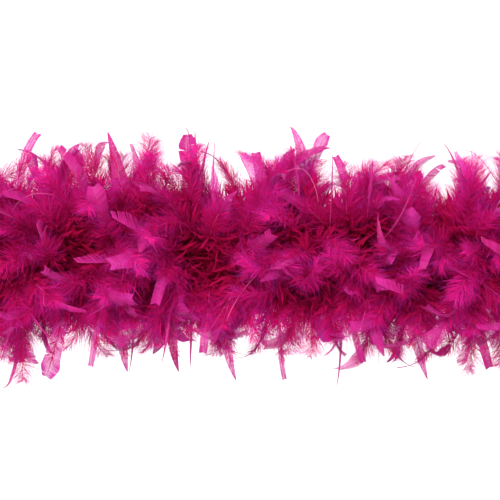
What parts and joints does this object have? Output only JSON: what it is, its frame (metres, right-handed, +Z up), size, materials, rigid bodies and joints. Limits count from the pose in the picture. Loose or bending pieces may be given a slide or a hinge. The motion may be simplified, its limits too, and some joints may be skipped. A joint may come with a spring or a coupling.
{
  "type": "feather boa",
  "caption": "Limp garland of dyed chandelle feathers bound on a twisted cord with knotted ends, to drape round the neck and shoulders.",
  "frame": {"origin": "under the middle of the boa's length, on the surface it lies on", "axes": "+X along the cord, +Z up, +Y across the boa"},
  "size_m": [1.8448, 0.186, 0.156],
  "materials": {
    "feather": "matte dyed feather, hot pink",
    "cord": "matte twisted cord, dyed to match",
    "thread": "satin sewing thread, dyed to match"
  },
  "bodies": {
    "segment_01": {"core_strand_a_01": "cord", "core_strand_b_01": "cord", "lock_thread_01": "thread", "feather_cluster_01": "feather", "end_whipping_left": "thread", "end_knot_left": "cord", "cut_end_left_a": "cord", "cut_end_left_b": "cord"},
    "segment_02": {"core_strand_a_02": "cord", "core_strand_b_02": "cord", "lock_thread_02": "thread", "feather_cluster_02": "feather"},
    "segment_03": {"core_strand_a_03": "cord", "core_strand_b_03": "cord", "lock_thread_03": "thread", "feather_cluster_03": "feather"},
    "segment_04": {"core_strand_a_04": "cord", "core_strand_b_04": "cord", "lock_thread_04": "thread", "feather_cluster_04": "feather"},
    "segment_05": {"core_strand_a_05": "cord", "core_strand_b_05": "cord", "lock_thread_05": "thread", "feather_cluster_05": "feather"},
    "segment_06": {"core_strand_a_06": "cord", "core_strand_b_06": "cord", "lock_thread_06": "thread", "feather_cluster_06": "feather"},
    "segment_07": {"core_strand_a_07": "cord", "core_strand_b_07": "cord", "lock_thread_07": "thread", "feather_cluster_07": "feather"},
    "segment_08": {"core_strand_a_08": "cord", "core_strand_b_08": "cord", "lock_thread_08": "thread", "feather_cluster_08": "feather"},
    "segment_09": {"core_strand_a_09": "cord", "core_strand_b_09": "cord", "lock_thread_09": "thread", "feather_cluster_09": "feather"},
    "segment_10": {"core_strand_a_10": "cord", "core_strand_b_10": "cord", "lock_thread_10": "thread", "feather_cluster_10": "feather"},
    "segment_11": {"core_strand_a_11": "cord", "core_strand_b_11": "cord", "lock_thread_11": "thread", "feather_cluster_11": "feather", "end_whipping_right": "thread", "end_knot_right": "cord", "cut_end_right_a": "cord", "cut_end_right_b": "cord"}
  },
  "joints": [
    {"name": "bend_side_06_07", "type": "hinge", "parent": "segment_06", "child": "segment_07", "pos_m": [0.082, 0, 0.062], "axis": [0, 0, 1], "range_deg": [-60, 60], "deforming": ["feather_cluster_07", "feather_cluster_06"]},
    {"name": "bend_lift_07_08", "type": "hinge", "parent": "segment_07", "child": "segment_08", "pos_m": [0.246, 0, 0.062], "axis": [0, -1, 0], "range_deg": [-60, 60], "deforming": ["feather_cluster_08"]},
    {"name": "bend_side_08_09", "type": "hinge", "parent": "segment_08", "child": "segment_09", "pos_m": [0.41, 0, 0.062], "axis": [0, 0, -1], "range_deg": [-60, 60], "deforming": ["feather_cluster_09"]},
    {"name": "bend_lift_09_10", "type": "hinge", "parent": "segment_09", "child": "segment_10", "pos_m": [0.574, 0, 0.062], "axis": [0, 1, 0], "range_deg": [-60, 60], "deforming": ["feather_cluster_10"]},
    {"name": "bend_side_10_11", "type": "hinge", "parent": "segment_10", "child": "segment_11", "pos_m": [0.738, 0, 0.062], "axis": [0, 0, 1], "range_deg": [-60, 60], "deforming": ["feather_cluster_11"]},
    {"name": "bend_side_05_06", "type": "hinge", "parent": "segment_06", "child": "segment_05", "pos_m": [-0.082, 0, 0.062], "axis": [0, 0, -1], "range_deg": [-60, 60], "deforming": ["feather_cluster_05"]},
    {"name": "bend_lift_04_05", "type": "hinge", "parent": "segment_05", "child": "segment_04", "pos_m": [-0.246, 0, 0.062], "axis": [0, 1, 0], "range_deg": [-60, 60], "deforming": ["feather_cluster_04"]},
    {"name": "bend_side_03_04", "type": "hinge", "parent": "segment_04", "child": "segment_03", "pos_m": [-0.41, 0, 0.062], "axis": [0, 0, 1], "range_deg": [-60, 60], "deforming": ["feather_cluster_03"]},
    {"name": "bend_lift_02_03", "type": "hinge", "parent": "segment_03", "child": "segment_02", "pos_m": [-0.574, 0, 0.062], "axis": [0, -1, 0], "range_deg": [-60, 60], "deforming": ["feather_cluster_02"]},
    {"name": "bend_side_01_02", "type": "hinge", "parent": "segment_02", "child": "segment_01", "pos_m": [-0.738, 0, 0.062], "axis": [0, 0, -1], "range_deg": [-60, 60], "deforming": ["feather_cluster_01"]}
  ]
}
